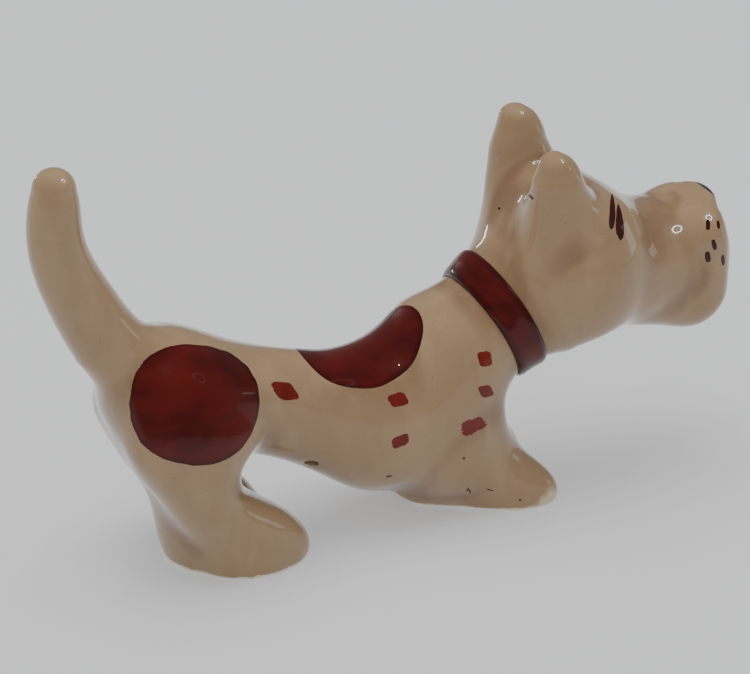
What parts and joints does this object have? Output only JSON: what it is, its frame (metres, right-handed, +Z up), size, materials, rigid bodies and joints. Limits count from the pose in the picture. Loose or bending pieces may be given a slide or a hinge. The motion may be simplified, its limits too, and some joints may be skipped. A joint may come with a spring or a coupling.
{
  "type": "ceramic dog figurine",
  "caption": "Glazed ceramic terrier figurine in a play bow, tail up, with a raised collar and brushed dark red patches and spots.",
  "frame": {"origin": "centre of the bounding box at the level of the soles, so that the figurine stands on Z = 0", "axes": "+X the way the dog faces, +Y its left side, +Z up"},
  "size_m": [0.188, 0.0464, 0.1088],
  "materials": {
    "glazed_body": "tan clear-glazed earthenware, glossy",
    "red_brown_paint": "brushed dark red-brown underglaze, glossy",
    "dark_line_paint": "thin dark brown brush strokes under glaze",
    "blue_black_paint": "blue-black underglaze, glossy"
  },
  "bodies": {
    "root": {"torso": "glazed_body", "head": "glazed_body", "tail": "glazed_body", "left_ear": "glazed_body", "right_ear": "glazed_body", "left_hind_leg": "glazed_body", "right_hind_leg": "glazed_body", "left_front_leg": "glazed_body", "right_front_leg": "glazed_body", "collar": "red_brown_paint", "saddle_patch": "red_brown_paint", "left_haunch_patch": "red_brown_paint", "right_haunch_patch": "red_brown_paint", "left_flank_spot": "red_brown_paint", "right_flank_spot": "red_brown_paint", "left_shoulder_spots": "red_brown_paint", "right_shoulder_spots": "red_brown_paint", "left_chest_spots": "red_brown_paint", "right_chest_spots": "red_brown_paint", "left_brow": "dark_line_paint", "right_brow": "dark_line_paint", "left_eye": "dark_line_paint", "right_eye": "dark_line_paint", "left_whisker_dots": "dark_line_paint", "right_whisker_dots": "dark_line_paint", "nose_patch": "blue_black_paint"}
  },
  "joints": []
}
